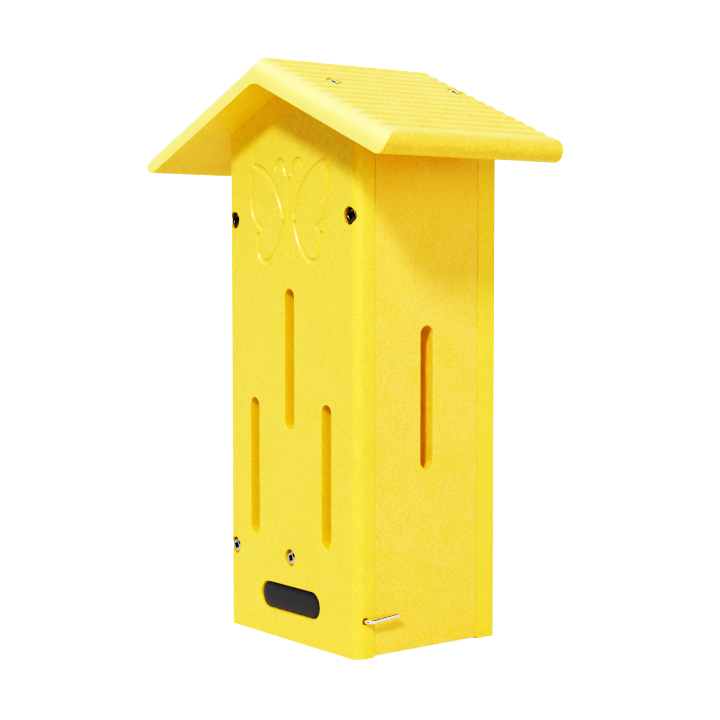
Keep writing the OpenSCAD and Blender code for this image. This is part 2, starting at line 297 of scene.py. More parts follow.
def screw_hole(bm, place, counterbored=True):
    """Adds a cutter for a screw: a counterbore with a rounded mouth, then the hole for its shank."""
    seat = HEAD_RECESS + HEAD_H
    end = seat + SHANK_LEN + SHANK_CLEAR
    bore_r, hole_r = HEAD_R + HEAD_CLEAR, SHANK_R + SHANK_CLEAR
    if counterbored:
        profile = [(d, bore_r + margin) for d, margin in mouth(MOUTH_EASE)]
        profile += [(seat, bore_r), (seat, hole_r), (end, hole_r)]
    else:
        profile = [(0, hole_r), (end, hole_r)]
    bore(bm, profile, place)


def cut(piece, draw):
    """Cuts what draw adds to an empty mesh out of a piece."""
    bm = bmesh.new()
    draw(bm)
    bmesh.ops.recalc_face_normals(bm, faces=bm.faces)
    cutter = made("cutter", bm)
    boolean = piece.modifiers.new("cut", "BOOLEAN")
    boolean.operation = "DIFFERENCE"
    boolean.solver = "EXACT"
    boolean.object = cutter
    baked(piece)
    bpy.data.objects.remove(cutter)
    return piece


def ease_edges(bm, width=ARRIS, least_angle=math.radians(30)):
    """Rounds the outer edges that are sharper than an angle."""
    sharp = [e for e in bm.edges if e.is_manifold and e.is_convex and e.calc_face_angle() > least_angle]
    bmesh.ops.bevel(bm, geom=sharp, offset=width, segments=3, profile=0.5, affect="EDGES",
                    clamp_overlap=True)


def board(name, plan, low, high, top_gap=None):
    """A board: its plan drawn up from low to high, cut off under the roof where it has a top gap, with its
    sawn edges eased."""
    bm = bmesh.new()
    face = bm.faces.new([bm.verts.new((x, y, low)) for x, y in plan])
    drawn = bmesh.ops.extrude_face_region(bm, geom=[face])
    raised = [v for v in drawn["geom"] if isinstance(v, bmesh.types.BMVert)]
    bmesh.ops.translate(bm, verts=raised, vec=(0, 0, high - low))
    if top_gap is not None:
        peak = RIDGE_H - top_gap
        planes = [((0, 0, peak), (side * ROOF_SIN, 0, ROOF_COS)) for side in (-1, 1)]
        planes.append(((0, 0, peak - RIDGE_DROP), (0, 0, 1)))
        for point, normal in planes:
            sliced = bmesh.ops.bisect_plane(bm, geom=bm.verts[:] + bm.edges[:] + bm.faces[:], dist=1e-6,
                                            plane_co=point, plane_no=normal, clear_outer=True)
            rim = [e for e in sliced["geom_cut"] if isinstance(e, bmesh.types.BMEdge)]
            if rim:
                bmesh.ops.contextual_create(bm, geom=rim)
    bmesh.ops.recalc_face_normals(bm, faces=bm.faces)
    ease_edges(bm)
    return made(name, bm)


def box_plan(x0, x1, y0, y1):
    return [(x0, y0), (x1, y0), (x1, y1), (x0, y1)]


def dressed(piece, material, body, nodes, smooth_angle=math.radians(32)):
    """Shades a finished mesh, gives it its material, hangs it on its body's empty and hides the parts it
    replaces.
    """
    piece.data.shade_smooth()
    piece.data.set_sharp_from_angle(angle=smooth_angle)
    weighted = piece.modifiers.new("weighted", "WEIGHTED_NORMAL")
    weighted.keep_sharp = True
    weighted.weight = 100
    baked(piece)
    piece.data.materials.clear()
    piece.data.materials.append(material)
    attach(piece, body)
    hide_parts(*nodes)


# Materials

def surface(name, settings):
    """A new material, its emptied tree, its Object coordinates and its shader."""
    material = bpy.data.materials.new(name)
    material.use_nodes = True
    tree = material.node_tree
    tree.nodes.clear()
    coords = add(tree, "ShaderNodeTexCoord").outputs["Object"]
    shader = add(tree, "ShaderNodeBsdfPrincipled", settings)
    add(tree, "ShaderNodeOutputMaterial", {"Surface": shader.outputs["BSDF"]})
    return material, tree, coords, shader


def lumber(name, pale, deep, roughness, grain_mm, grain_depth_mm, streak=1):
    """High-density polyethylene board, extruded and coloured right through: a soft mottling, drawn out along
    the board by streak, under a skin that lets a little light in."""
    material, tree, coords, shader = surface(name, {
        "Roughness": roughness, "Subsurface Weight": 0.3, "Subsurface Radius": (1.0, 0.45, 0.12),
        "Subsurface Scale": 2.5 * MM})
    drawn = add(tree, "ShaderNodeMapping", {"Vector": coords, "Scale": (1, 1, 1 / streak)})
    grain = add(tree, "ShaderNodeTexNoise", {"Vector": drawn.outputs[0], "Scale": 1 / (grain_mm * MM),
                                             "Detail": 3, "Roughness": 0.65}).outputs["Fac"]
    cloud = add(tree, "ShaderNodeTexNoise", {"Vector": coords, "Scale": 1 / (CLOUD_MM * MM)}).outputs["Fac"]
    mixed = add(tree, "ShaderNodeMix", {0: 0.15, 2: grain, 3: cloud}).outputs[0]
    ramp = add(tree, "ShaderNodeMapRange", {"Value": mixed, "From Min": 0.4, "From Max": 0.6}).outputs[0]
    colour = add(tree, "ShaderNodeMix", {0: ramp, 6: linear(deep), 7: linear(pale)}, data_type="RGBA")
    bump = add(tree, "ShaderNodeBump", {"Height": grain, "Strength": 1, "Distance": grain_depth_mm * MM})
    tree.links.new(colour.outputs[2], shader.inputs["Base Color"])
    tree.links.new(bump.outputs[0], shader.inputs["Normal"])
    return material, tree, coords, colour, bump, shader


def painted_inner_glow(tree, coords, shader):
    """Painted light: a faint glow, though the boards are no lamp, that grows from the outer faces to the
    inner ones in place of light bounced in through the slots, and that the tone turns to the deep orange of
    the slots."""
    place = add(tree, "ShaderNodeSeparateXYZ", {"Vector": coords}).outputs
    across = add(tree, "ShaderNodeMath", {0: place["X"]}, operation="ABSOLUTE").outputs[0]
    from_side = add(tree, "ShaderNodeMath", {0: HALF_W, 1: across}, operation="SUBTRACT").outputs[0]
    from_front = add(tree, "ShaderNodeMath", {0: place["Y"], 1: FRONT_Y}, operation="SUBTRACT").outputs[0]
    from_back = add(tree, "ShaderNodeMath", {0: BACK_Y, 1: place["Y"]}, operation="SUBTRACT").outputs[0]
    nearest = add(tree, "ShaderNodeMath", {0: from_front, 1: from_back}, operation="MINIMUM").outputs[0]
    inside = add(tree, "ShaderNodeMath", {0: from_side, 1: nearest}, operation="MINIMUM").outputs[0]
    # Painted light: emission that grows stronger the further a face lies inside the house
    level = add(tree, "ShaderNodeMapRange", {"Value": inside, "From Min": 0.2 * BOARD_T, "From Max": BOARD_T,
                                             "To Max": PAINTED_INNER_GLOW})
    shader.inputs["Emission Color"].default_value = linear("dcff00")
    tree.links.new(level.outputs[0], shader.inputs["Emission Strength"])


def smooth_face():
    """Planed and buffed board: faint mottling under a satin gloss."""
    material, tree, coords, _, _, shader = lumber("hdpe_smooth_face", "f6db81", "f0d377", 0.24, 1.6, 0.012)
    # Painted light: a glow on the inner faces
    painted_inner_glow(tree, coords, shader)
    return material


def grained_sheet():
    """Embossed board: its close hammered grain breaks the light into small specks."""
    material, tree, coords, _, _, shader = lumber("hdpe_grained_sheet", "f7d897", "eece71", 0.45, 0.9, 0.07,
                                                  streak=1.4)
    # Painted light: a glow on the inner faces
    painted_inner_glow(tree, coords, shader)
    return material


def reeded_top():
    """Board extruded with reeds, and painted light: its top is mixed paler, most on the reeds' down-slope
    flanks against their shade; the front edge is routed smooth and glossy and painted pale as a sheen; faces
    that turn sideways, as along the sawn eave, get a painted shade of deeper orange; the underside glows
    with painted light."""
    material, tree, coords, colour, bump, shader = lumber("hdpe_reeded_roof", "fde487", "f0d25e", 0.38, 1.5,
                                                          0.15)
    facing_out = add(tree, "ShaderNodeNewGeometry").outputs["Normal"]
    normal = add(tree, "ShaderNodeSeparateXYZ", {"Vector": facing_out}).outputs
    # Painted light: up-facing faces are mixed towards a pale colour, most on the reeds' down-slope flanks,
    # which lie in shade
    upward = add(tree, "ShaderNodeMapRange", {"Value": normal["Z"], "From Min": 0.1, "From Max": 0.66,
                                              "To Max": 0.3}).outputs[0]
    flank = add(tree, "ShaderNodeMapRange", {"Value": normal["Z"], "From Min": 1.0,
                                             "From Max": 0.66}).outputs[0]
    painted_top_light = add(tree, "ShaderNodeMath", {0: upward, 1: flank}, operation="MULTIPLY").outputs[0]
    top_lightened = add(tree, "ShaderNodeMix", {0: painted_top_light, 6: colour.outputs[2], 7: linear("ffeac6")},
                data_type="RGBA").outputs[2]

    # Painted shade: faces that turn sideways, as along the eave, are mixed towards a deeper orange
    across = add(tree, "ShaderNodeMath", {0: normal["X"]}, operation="ABSOLUTE").outputs[0]
    sideways = add(tree, "ShaderNodeMath", {0: normal["Z"], 1: -0.8, 2: across},
                   operation="MULTIPLY_ADD").outputs[0]
    eave = add(tree, "ShaderNodeMapRange", {"Value": sideways, "From Min": 0.1, "From Max": 0.6,
                                            "To Max": 0.4}).outputs[0]
    sawn = add(tree, "ShaderNodeMix", {0: eave, 6: top_lightened, 7: linear("efbf84")},
               data_type="RGBA").outputs[2]

    y = add(tree, "ShaderNodeSeparateXYZ", {"Vector": coords}).outputs["Y"]
    routed_to = ROOF_FRONT_Y + FRONT_ROUND
    near_front = add(tree, "ShaderNodeMapRange", {"Value": y, "From Min": routed_to - 2 * MM,
                                                  "From Max": routed_to + 2 * MM, "To Min": 0.9,
                                                  "To Max": 0.0}).outputs[0]
    off_eave = add(tree, "ShaderNodeMapRange", {"Value": sideways, "From Min": 0.05, "From Max": 0.3,
                                                "To Min": 1.0, "To Max": 0.0}).outputs[0]
    routed = add(tree, "ShaderNodeMath", {0: near_front, 1: off_eave}, operation="MULTIPLY").outputs[0]
    # Painted sheen: the routed front edge is mixed towards a pale colour; its lower roughness and weaker
    # grain bump are real
    with_painted_sheen = add(tree, "ShaderNodeMix", {0: routed, 6: sawn, 7: linear("ffef9e")}, data_type="RGBA")
    grained = add(tree, "ShaderNodeMath", {0: 1.0, 1: routed}, operation="SUBTRACT")
    gloss = add(tree, "ShaderNodeMapRange", {"Value": routed, "To Min": 0.38, "To Max": 0.28})
    # Painted light: down-facing faces glow faintly, though the board is no lamp
    under = add(tree, "ShaderNodeMapRange", {"Value": normal["Z"], "From Min": -0.5, "From Max": -0.9,
                                             "To Max": 0.14})
    shader.inputs["Emission Color"].default_value = linear("ffe050")
    tree.links.new(with_painted_sheen.outputs[2], shader.inputs["Base Color"])
    tree.links.new(grained.outputs[0], bump.inputs["Strength"])
    tree.links.new(gloss.outputs[0], shader.inputs["Roughness"])
    tree.links.new(under.outputs[0], shader.inputs["Emission Strength"])
    return material


def metal(name, hex_colour, roughness, grain_mm, depth_mm):
    """A metal whose coating varies a little in gloss. It darkens where the mesh says it lies deep, as in a
    screw's drive, out of which next to no light comes back."""
    material, tree, coords, shader = surface(name, {"Metallic": 1})
    grain = add(tree, "ShaderNodeTexNoise", {"Vector": coords, "Scale": 1 / (grain_mm * MM)}).outputs["Fac"]
    rough = add(tree, "ShaderNodeMapRange", {"Value": grain, "To Min": roughness * 0.8,
                                             "To Max": roughness * 1.25})
    bump = add(tree, "ShaderNodeBump", {"Height": grain, "Strength": 1, "Distance": depth_mm * MM})
    deep = add(tree, "ShaderNodeAttribute", attribute_name="deep").outputs["Fac"]
    colour = add(tree, "ShaderNodeMix", {0: deep, 6: linear(hex_colour), 7: linear("0c0b0a")},
                 data_type="RGBA")
    tree.links.new(colour.outputs[2], shader.inputs["Base Color"])
    tree.links.new(rough.outputs[0], shader.inputs["Roughness"])
    tree.links.new(bump.outputs[0], shader.inputs["Normal"])
    return material


def black_oxide():
    """Steel screws, cold-formed and blackened in an oxide bath: satin, and black where they mirror the
    dark studio."""
    return metal("black_oxide_steel", "8a8680", 0.24, 0.6, 0.003)


def zinc_plate():
    """Steel screws, cold-formed and zinc plated: silver, with sharper glints."""
    return metal("zinc_plated_steel", "d4d6da", 0.14, 0.5, 0.003)


def bright_zinc():
    """Steel wire, drawn through a die and plated bright: one long clean highlight."""
    return metal("bright_zinc_wire", "fafcff", 0.16, 1.2, 0.001)


def domed_resin():
    """Dark print under a poured clear dome, slightly wavy where it set: deep, with one clean reflection."""
    material, tree, coords, shader = surface("domed_resin", {
        "Base Color": linear("4b4f58"), "Roughness": 0.25, "Coat Weight": 1, "Coat Roughness": 0.04,
        "Coat IOR": 1.6})
    ripple = add(tree, "ShaderNodeTexNoise", {"Vector": coords, "Scale": 1 / (9 * MM)}).outputs["Fac"]
    bump = add(tree, "ShaderNodeBump", {"Height": ripple, "Strength": 1, "Distance": 0.02 * MM})
    tree.links.new(bump.outputs[0], shader.inputs["Normal"])
    return material


smooth_board = smooth_face()
grained_board = grained_sheet()
reeded_board = reeded_top()
black_steel = black_oxide()
zinc_steel = zinc_plate()
bright_wire = bright_zinc()
badge_resin = domed_resin()


# Boards

def front_plan():
    """Plan of the front panel: its outer corners follow an arc that meets the face at a crease."""
    start = math.asin(CORNER_DEPTH / CORNER_R)
    arc = [start * k / CORNER_STEPS for k in range(CORNER_STEPS + 1)]
    right = [(HALF_W - CORNER_R + CORNER_R * math.cos(a), FRONT_Y + CORNER_DEPTH - CORNER_R * math.sin(a))
             for a in arc]
    half = [(HALF_W, INNER_FRONT_Y)] + right
    return half + [(-x, y) for x, y in half[::-1]]


def stroke_path(points, side=1):
    """Points along a Bezier stroke, turned over to the left wing where side is -1."""
    path = []
    for k in range(STROKE_STEPS + 1):
        t = k / STROKE_STEPS
        weights = ((1 - t) ** 3, 3 * (1 - t) ** 2 * t, 3 * (1 - t) * t * t, t ** 3)
        x, z = (sum(w * p[axis] for w, p in zip(weights, points)) for axis in (0, 1))
        path.append((side * x * MM, z * MM))
    return path


def butterfly(bm):
    paths = [stroke_path(points, side) for points in BUTTERFLY_STROKES for side in (-1, 1)]
    for path in paths + [stroke_path(BODY_STROKE)]:
        loft(bm, [(depth * MM, grown(path, radius * MM, 8)) for depth, radius in GROOVE],
             on_front(0, BUTTERFLY_Z))


def latch_hole(bm):
    hole_r = WIRE_R + LATCH_CLEAR
    profile = [(d, LATCH_MOUTH_R + margin) for d, margin in mouth(LATCH_EASE)]
    profile += [(LATCH_MOUTH_DEPTH, LATCH_MOUTH_R), (LATCH_MOUTH_DEPTH + LATCH_EASE, hole_r),
                (LATCH_REACH + LATCH_CLEAR, hole_r)]
    bore(bm, profile, on_side(1, LATCH_Y, LATCH_Z))


def front_board():
    def cuts(bm):
        slot(bm, on_front(0, MIDDLE_SLOT_Z))
        for side in (-1, 1):
            slot(bm, on_front(side * LOWER_SLOT_X, LOWER_SLOT_Z))
        pocket(bm, [(-BADGE_REACH, 0), (BADGE_REACH, 0)], BADGE_R + POCKET_CLEAR, POCKET_DEPTH,
               on_front(0, BADGE_Z), ease=POCKET_EASE)
        butterfly(bm)
        for x, z in PANEL_SCREWS:
            screw_hole(bm, on_front(x, z))
        latch_hole(bm)
    piece = board("front_board", front_plan(), front_low.z, RIDGE_H, top_gap=0)
    dressed(cut(piece, cuts), smooth_board, "house", ["front_panel"])


def back_board():
    def cuts(bm):
        for x, z in PANEL_SCREWS:
            screw_hole(bm, on_back(x, z))
        for z in MOUNT_HOLE_Z:
            pocket(bm, [(0, 0)], MOUNT_HOLE_R, BOARD_T, on_back(0, z), through=True)
    plan = box_plan(-HALF_W, HALF_W, INNER_BACK_Y, BACK_Y)
    piece = board("back_board", plan, back_low.z, RIDGE_H, top_gap=0)
    dressed(cut(piece, cuts), smooth_board, "house", ["back_panel"])


def left_board():
    def cuts(bm):
        slot(bm, on_side(-1, DOOR_MID_Y, SIDE_SLOT_Z))
        for z in (PIVOT_Z, LOW_SCREW_Z):
            screw_hole(bm, on_front(-SIDE_X, z), counterbored=False)
            screw_hole(bm, on_back(-SIDE_X, z), counterbored=False)
    plan = box_plan(side_low.x, side_high.x, side_low.y, side_high.y)
    piece = board("left_board", plan, side_low.z, RIDGE_H, top_gap=0)
    dressed(cut(piece, cuts), grained_board, "house", ["left_side"])


def door_board():
    def cuts(bm):
        slot(bm, on_side(1, DOOR_MID_Y, SIDE_SLOT_Z))
        screw_hole(bm, on_front(SIDE_X, PIVOT_Z), counterbored=False)
        screw_hole(bm, on_back(SIDE_X, PIVOT_Z), counterbored=False)
    plan = box_plan(door_low.x, door_high.x, INNER_FRONT_Y + DOOR_GAP, INNER_BACK_Y - DOOR_GAP)
    piece = board("door_board", plan, door_low.z, RIDGE_H, top_gap=DOOR_TOP_GAP)
    dressed(cut(piece, cuts), grained_board, "door", ["clean_out_door"])


def floor_slab():
    def cuts(bm):
        screw_hole(bm, on_front(0, LOW_SCREW_Z), counterbored=False)
        screw_hole(bm, on_back(0, LOW_SCREW_Z), counterbored=False)
    plan = box_plan(floor_low.x, floor_high.x, floor_low.y, floor_high.y)
    piece = board("floor_slab", plan, floor_low.z, floor_high.z)
    dressed(cut(piece, cuts), grained_board, "house", ["floor_board"])


def badge_pill():
    """A blank oval lying in its pocket, with a shallow dome whose rings are closest at its steep edge."""
    dome = BADGE_EDGE - BADGE_CROWN
    levels = [(POCKET_DEPTH, BADGE_R - 0.15 * MM), (POCKET_DEPTH - 0.1 * MM, BADGE_R),
              (BADGE_EDGE + 0.1 * MM, BADGE_R)]
    shares = [1 - (k / BADGE_STEPS) ** 1.4 for k in range(1, BADGE_STEPS)]
    levels += [(BADGE_CROWN + dome * t ** 4, BADGE_R * t) for t in shares]
    levels.append((BADGE_CROWN, BADGE_R * 0.002))
    middle_line = [(-BADGE_REACH, 0), (BADGE_REACH, 0)]
    bm = bmesh.new()
    loft(bm, [(d, grown(middle_line, r, BADGE_STEPS)) for d, r in levels], on_front(0, BADGE_Z))
    bmesh.ops.recalc_face_normals(bm, faces=bm.faces)
    dressed(made("badge_pill", bm), badge_resin, "house", ["badge"])


# Roof, screws and wire, drawn by geometry nodes

def geometry_tree(name, inputs):
    """A geometry tree with named inputs, and the sockets that hold what it is given."""
    tree = bpy.data.node_groups.new(name, "GeometryNodeTree")
    tree.interface.new_socket("Geometry", in_out="OUTPUT", socket_type="NodeSocketGeometry")
    tree.interface.new_socket("Geometry", in_out="INPUT", socket_type="NodeSocketGeometry")
    for title, kind in inputs.items():
        tree.interface.new_socket(title, in_out="INPUT", socket_type="NodeSocket" + kind)
    return tree, add(tree, "NodeGroupInput").outputs


def finish_tree(tree, geometry, material):
    """Ends a tree with its geometry made real and given its material."""
    real = add(tree, "GeometryNodeRealizeInstances", {"Geometry": geometry})
    painted = add(tree, "GeometryNodeSetMaterial", {"Geometry": real.outputs[0], "Material": material})
    add(tree, "NodeGroupOutput", {"Geometry": painted.outputs[0]})
    return tree


def grow(name, host, tree, values):
    """Runs a tree on a host mesh with these values and keeps the result as a plain mesh."""
    piece = link(name, host)
    modifier = piece.modifiers.new(tree.name, "NODES")
    modifier.node_group = tree
    for item in tree.interface.items_tree:
        if item.in_out == "INPUT" and item.name in values:
            value = values[item.name]
            modifier[item.identifier] = [float(v) for v in value] if isinstance(value, tuple) else value
    return baked(piece)


def drawing(name, points, closed=False, **attributes):
    """A mesh of points joined in order, with one number or direction for each point in each attribute."""
    mesh = bpy.data.meshes.new(name)
    last = len(points) if closed else len(points) - 1
    mesh.from_pydata(points, [(i, (i + 1) % len(points)) for i in range(last)], [])
    for key, values in attributes.items():
        many = hasattr(values[0], "__len__")
        layer = mesh.attributes.new(key, "FLOAT_VECTOR" if many else "FLOAT", "POINT")
        flat = [v for value in values for v in value] if many else values
        layer.data.foreach_set("vector" if many else "value", flat)
    return mesh


def tidied(piece, width, least_angle=math.radians(55)):
    """Merges what a tree leaves double, turns the faces outwards and eases the sharp outer edges."""
    bm = bmesh.new()
    bm.from_mesh(piece.data)
    bmesh.ops.remove_doubles(bm, verts=bm.verts, dist=0.008 * MM)
    bmesh.ops.dissolve_degenerate(bm, edges=bm.edges, dist=0.001 * MM)
    bmesh.ops.dissolve_limit(bm, angle_limit=math.radians(0.05), verts=bm.verts, edges=bm.edges)
    bmesh.ops.recalc_face_normals(bm, faces=bm.faces)
    ease_edges(bm, width, least_angle)
    bm.to_mesh(piece.data)
    bm.free()


def reeded_board_tree():
    """A roof board: its section drawn from back to front, kept only where the slab, the reeds or the strip
    along the eave lie, its top front edge rounded, then mirrored, tilted and lifted to the ridge."""
    tree, given = geometry_tree("reeded board", {
        "Drawn": "Vector", "Back": "Vector", "Slab Size": "Vector", "Slab Place": "Vector",
        "Strip Size": "Vector", "Strip Place": "Vector", "Reed Radius": "Float", "Reed Length": "Float",
        "Reeds": "Int", "Reed Step": "Vector", "First Reed": "Vector", "Nose Radius": "Float",
        "Nose Length": "Float", "Nose Place": "Vector", "Corner Size": "Vector", "Corner Place": "Vector",
        "Side": "Vector", "Slope": "Vector", "Ridge": "Vector", "Material": "Material"})
    quarter = math.pi / 2

    section = add(tree, "GeometryNodeMeshToCurve", {"Mesh": given["Geometry"]})
    rounding = add(tree, "GeometryNodeInputNamedAttribute", {"Name": "round"}, data_type="FLOAT")
    rounded = add(tree, "GeometryNodeFilletCurve", {
        "Curve": section.outputs[0], "Count": 14, "Radius": rounding.outputs["Attribute"]}, mode="POLY")
    sweep = add(tree, "GeometryNodeCurvePrimitiveLine", {"End": given["Drawn"]})
    prism = add(tree, "GeometryNodeCurveToMesh", {
        "Curve": sweep.outputs[0], "Profile Curve": rounded.outputs[0], "Fill Caps": True})
    laid = add(tree, "GeometryNodeTransform", {
        "Geometry": prism.outputs[0], "Rotation": (quarter, 0, 0), "Translation": given["Back"]})

    slab = add(tree, "GeometryNodeMeshCube", {"Size": given["Slab Size"]})
    slab = add(tree, "GeometryNodeTransform", {
        "Geometry": slab.outputs[0], "Translation": given["Slab Place"]})
    strip = add(tree, "GeometryNodeMeshCube", {"Size": given["Strip Size"]})
    strip = add(tree, "GeometryNodeTransform", {
        "Geometry": strip.outputs[0], "Translation": given["Strip Place"]})
    reed = add(tree, "GeometryNodeMeshCylinder", {
        "Vertices": 96, "Radius": given["Reed Radius"], "Depth": given["Reed Length"]}, fill_type="NGON")
    row = add(tree, "GeometryNodeMeshLine", {
        "Count": given["Reeds"], "Offset": given["Reed Step"], "Start Location": given["First Reed"]})
    reeds = add(tree, "GeometryNodeInstanceOnPoints", {
        "Points": row.outputs[0], "Instance": reed.outputs["Mesh"], "Rotation": (quarter, 0, 0)})
    kept = add(tree, "GeometryNodeMeshBoolean", {
        "Mesh 2": [slab.outputs[0], strip.outputs[0], reeds.outputs[0]]}, operation="UNION", solver="EXACT")
    reeded = add(tree, "GeometryNodeMeshBoolean", {
        "Mesh 2": [laid.outputs[0], kept.outputs[0]]}, operation="INTERSECT", solver="EXACT")

    nose = add(tree, "GeometryNodeMeshCylinder", {
        "Vertices": 96, "Radius": given["Nose Radius"], "Depth": given["Nose Length"]}, fill_type="NGON")
    nose = add(tree, "GeometryNodeTransform", {
        "Geometry": nose.outputs["Mesh"], "Rotation": (0, quarter, 0), "Translation": given["Nose Place"]})
    corner = add(tree, "GeometryNodeMeshCube", {"Size": given["Corner Size"]})
    corner = add(tree, "GeometryNodeTransform", {
        "Geometry": corner.outputs[0], "Translation": given["Corner Place"]})
    waste = add(tree, "GeometryNodeMeshBoolean", {
        "Mesh 1": corner.outputs[0], "Mesh 2": [nose.outputs[0]]}, operation="DIFFERENCE", solver="EXACT")
    routed = add(tree, "GeometryNodeMeshBoolean", {
        "Mesh 1": reeded.outputs[0], "Mesh 2": [waste.outputs[0]]}, operation="DIFFERENCE", solver="EXACT")

    hung = add(tree, "GeometryNodeTransform", {
        "Geometry": routed.outputs[0], "Scale": given["Side"], "Rotation": given["Slope"],
        "Translation": given["Ridge"]})
    return finish_tree(tree, hung.outputs[0], given["Material"])


def roof_screw_places():
    """Places of the roof's four screws over the front and back panels, the left board's two first."""
    along = (ROOF_SCREW_X - BOARD_T * ROOF_SIN) / ROOF_COS
    rows = (FRONT_Y + BOARD_T / 2, BACK_Y - BOARD_T / 2)
    return [on_roof(side, along, y) for side in (-1, 1) for y in rows]


def roof_board(tree, name, side, node):
    """One roof board. Its section lies down the slope from the ridge, and what keeps or cuts it reaches a
    little past its ends."""
    depth = ROOF_BACK_Y - ROOF_FRONT_Y
    spare = 4 * MM
    past_ends = depth + spare
    ridge_s = -BOARD_T * ROOF_TAN
    corners = [(RIDGE_DROP * ROOF_SIN, -RIDGE_DROP * ROOF_COS, 0), (RIDGE_FLAT / 2 / ROOF_COS, 0, 0),
               (ROOF_RUN, 0, 0), (ROOF_RUN, BOARD_T, 0), (ridge_s, BOARD_T, 0)]
    section = drawing("section", corners, closed=True, round=[0, 0, EAVE_R, EAVE_R, 0])
    valley_h = BOARD_T - REED_H
    first_crest = FIRST_VALLEY + REED_PITCH / 2
    strip_w, strip_h = ROOF_RUN / 2, 50 * MM
    piece = grow(name, section, tree, {
        "Drawn": (0, 0, depth), "Back": (0, ROOF_BACK_Y, 0),
        "Slab Size": (3 * ROOF_RUN, past_ends, valley_h + spare),
        "Slab Place": (0, 0, valley_h / 2 - spare),
        "Strip Size": (strip_w, past_ends, strip_h), "Strip Place": (first_crest + strip_w / 2, 0, 0),
        "Reed Radius": REED_R, "Reed Length": past_ends,
        "Reeds": math.floor((FIRST_VALLEY - ridge_s) / REED_PITCH) + 2, "Reed Step": (-REED_PITCH, 0, 0),
        "First Reed": (first_crest, 0, BOARD_T - CREST_SINK - REED_R),
        "Nose Radius": FRONT_ROUND, "Nose Length": 4 * ROOF_RUN,
        "Nose Place": (0, ROOF_FRONT_Y + FRONT_ROUND, BOARD_T - FRONT_ROUND),
        "Corner Size": (3 * ROOF_RUN, 2 * FRONT_ROUND, 2 * FRONT_ROUND),
        "Corner Place": (0, ROOF_FRONT_Y, BOARD_T), "Side": (side, 1, 1),
        "Slope": (0, side * ROOF_SLOPE, 0), "Ridge": (0, 0, RIDGE_H), "Material": reeded_board})
    tidied(piece, ROOF_EASE)
    holes = [place for place in roof_screw_places() if place.translation.x * side > 0]
    cut(piece, lambda bm: [screw_hole(bm, place) for place in holes])
    dressed(piece, reeded_board, "house", [node], math.radians(28))


def roof():
    tree = reeded_board_tree()
    roof_board(tree, "roof_left", -1, "roof_board_left")
    roof_board(tree, "roof_right", 1, "roof_board_right")


def screws_tree():
    """Square-drive screws: a profile turned round its axis, a square recess, and one screw on each point.
    The attribute deep runs from 0 at the crown to 1 at the floor of the recess."""
    tree, given = geometry_tree("square-drive screws", {
        "Profile": "Object", "Steps": "Int", "Drive Size": "Vector", "Drive Place": "Vector",
        "Drive Width": "Float", "Crown": "Float", "Recess Floor": "Float", "Below Floor": "Float",
        "Material": "Material"})
    profile = add(tree, "GeometryNodeObjectInfo", {"Object": given["Profile"]})
    outline = add(tree, "GeometryNodeMeshToCurve", {"Mesh": profile.outputs["Geometry"]})
    rounding = add(tree, "GeometryNodeInputNamedAttribute", {"Name": "round"}, data_type="FLOAT")
    rounded = add(tree, "GeometryNodeFilletCurve", {
        "Curve": outline.outputs[0], "Count": 4, "Radius": rounding.outputs["Attribute"]}, mode="POLY")
    turning = add(tree, "GeometryNodeCurvePrimitiveCircle", {
        "Resolution": given["Steps"], "Radius": 0.001 * MM})
    turned = add(tree, "GeometryNodeCurveToMesh", {
        "Curve": turning.outputs[0], "Profile Curve": rounded.outputs[0]})
    solid = add(tree, "GeometryNodeMergeByDistance", {"Geometry": turned.outputs[0], "Distance": 0.005 * MM})
    recess = add(tree, "GeometryNodeMeshCube", {"Size": given["Drive Size"]})
    recess = add(tree, "GeometryNodeTransform", {
        "Geometry": recess.outputs[0], "Translation": given["Drive Place"]})
    screw = add(tree, "GeometryNodeMeshBoolean", {
        "Mesh 1": solid.outputs[0], "Mesh 2": [recess.outputs[0]]}, operation="DIFFERENCE", solver="EXACT")

    place = add(tree, "GeometryNodeInputPosition").outputs[0]
    height = add(tree, "ShaderNodeSeparateXYZ", {"Vector": place}).outputs["Z"]
    flat = add(tree, "ShaderNodeVectorMath", {0: place, 1: (1, 1, 0)}, operation="MULTIPLY").outputs[0]
    radius = add(tree, "ShaderNodeVectorMath", {0: flat}, operation="LENGTH").outputs["Value"]
    near_axis = add(tree, "ShaderNodeMath", {0: radius, 1: given["Drive Width"]}, operation="LESS_THAN")
    in_head = add(tree, "ShaderNodeMath", {0: height, 1: given["Below Floor"]}, operation="GREATER_THAN")
    in_recess = add(tree, "ShaderNodeMath", {0: near_axis.outputs[0], 1: in_head.outputs[0]},
                    operation="MULTIPLY")
    sinking = add(tree, "ShaderNodeMapRange", {
        "Value": height, "From Min": given["Crown"], "From Max": given["Recess Floor"]})
    deep = add(tree, "ShaderNodeMath", {0: in_recess.outputs[0], 1: sinking.outputs[0]},
               operation="MULTIPLY")
    marked = add(tree, "GeometryNodeStoreNamedAttribute", {
        "Geometry": screw.outputs[0], "Name": "deep", "Value": deep.outputs[0]}, data_type="FLOAT")

    outward = add(tree, "GeometryNodeInputNamedAttribute", {"Name": "outward"}, data_type="FLOAT_VECTOR")
    upright = add(tree, "FunctionNodeAlignRotationToVector", {"Vector": outward.outputs["Attribute"]},
                  axis="Z")
    turn = add(tree, "GeometryNodeInputNamedAttribute", {"Name": "turn"}, data_type="FLOAT")
    spin = add(tree, "ShaderNodeCombineXYZ", {2: turn.outputs["Attribute"]})
    spun = add(tree, "FunctionNodeEulerToRotation", {"Euler": spin.outputs[0]})
    rotation = add(tree, "FunctionNodeRotateRotation", {
        "Rotation": upright.outputs[0], "Rotate By": spun.outputs[0]}, rotation_space="LOCAL")
    driven = add(tree, "GeometryNodeInstanceOnPoints", {
        "Points": given["Geometry"], "Instance": marked.outputs[0], "Rotation": rotation.outputs[0]})
    return finish_tree(tree, driven.outputs[0], given["Material"])


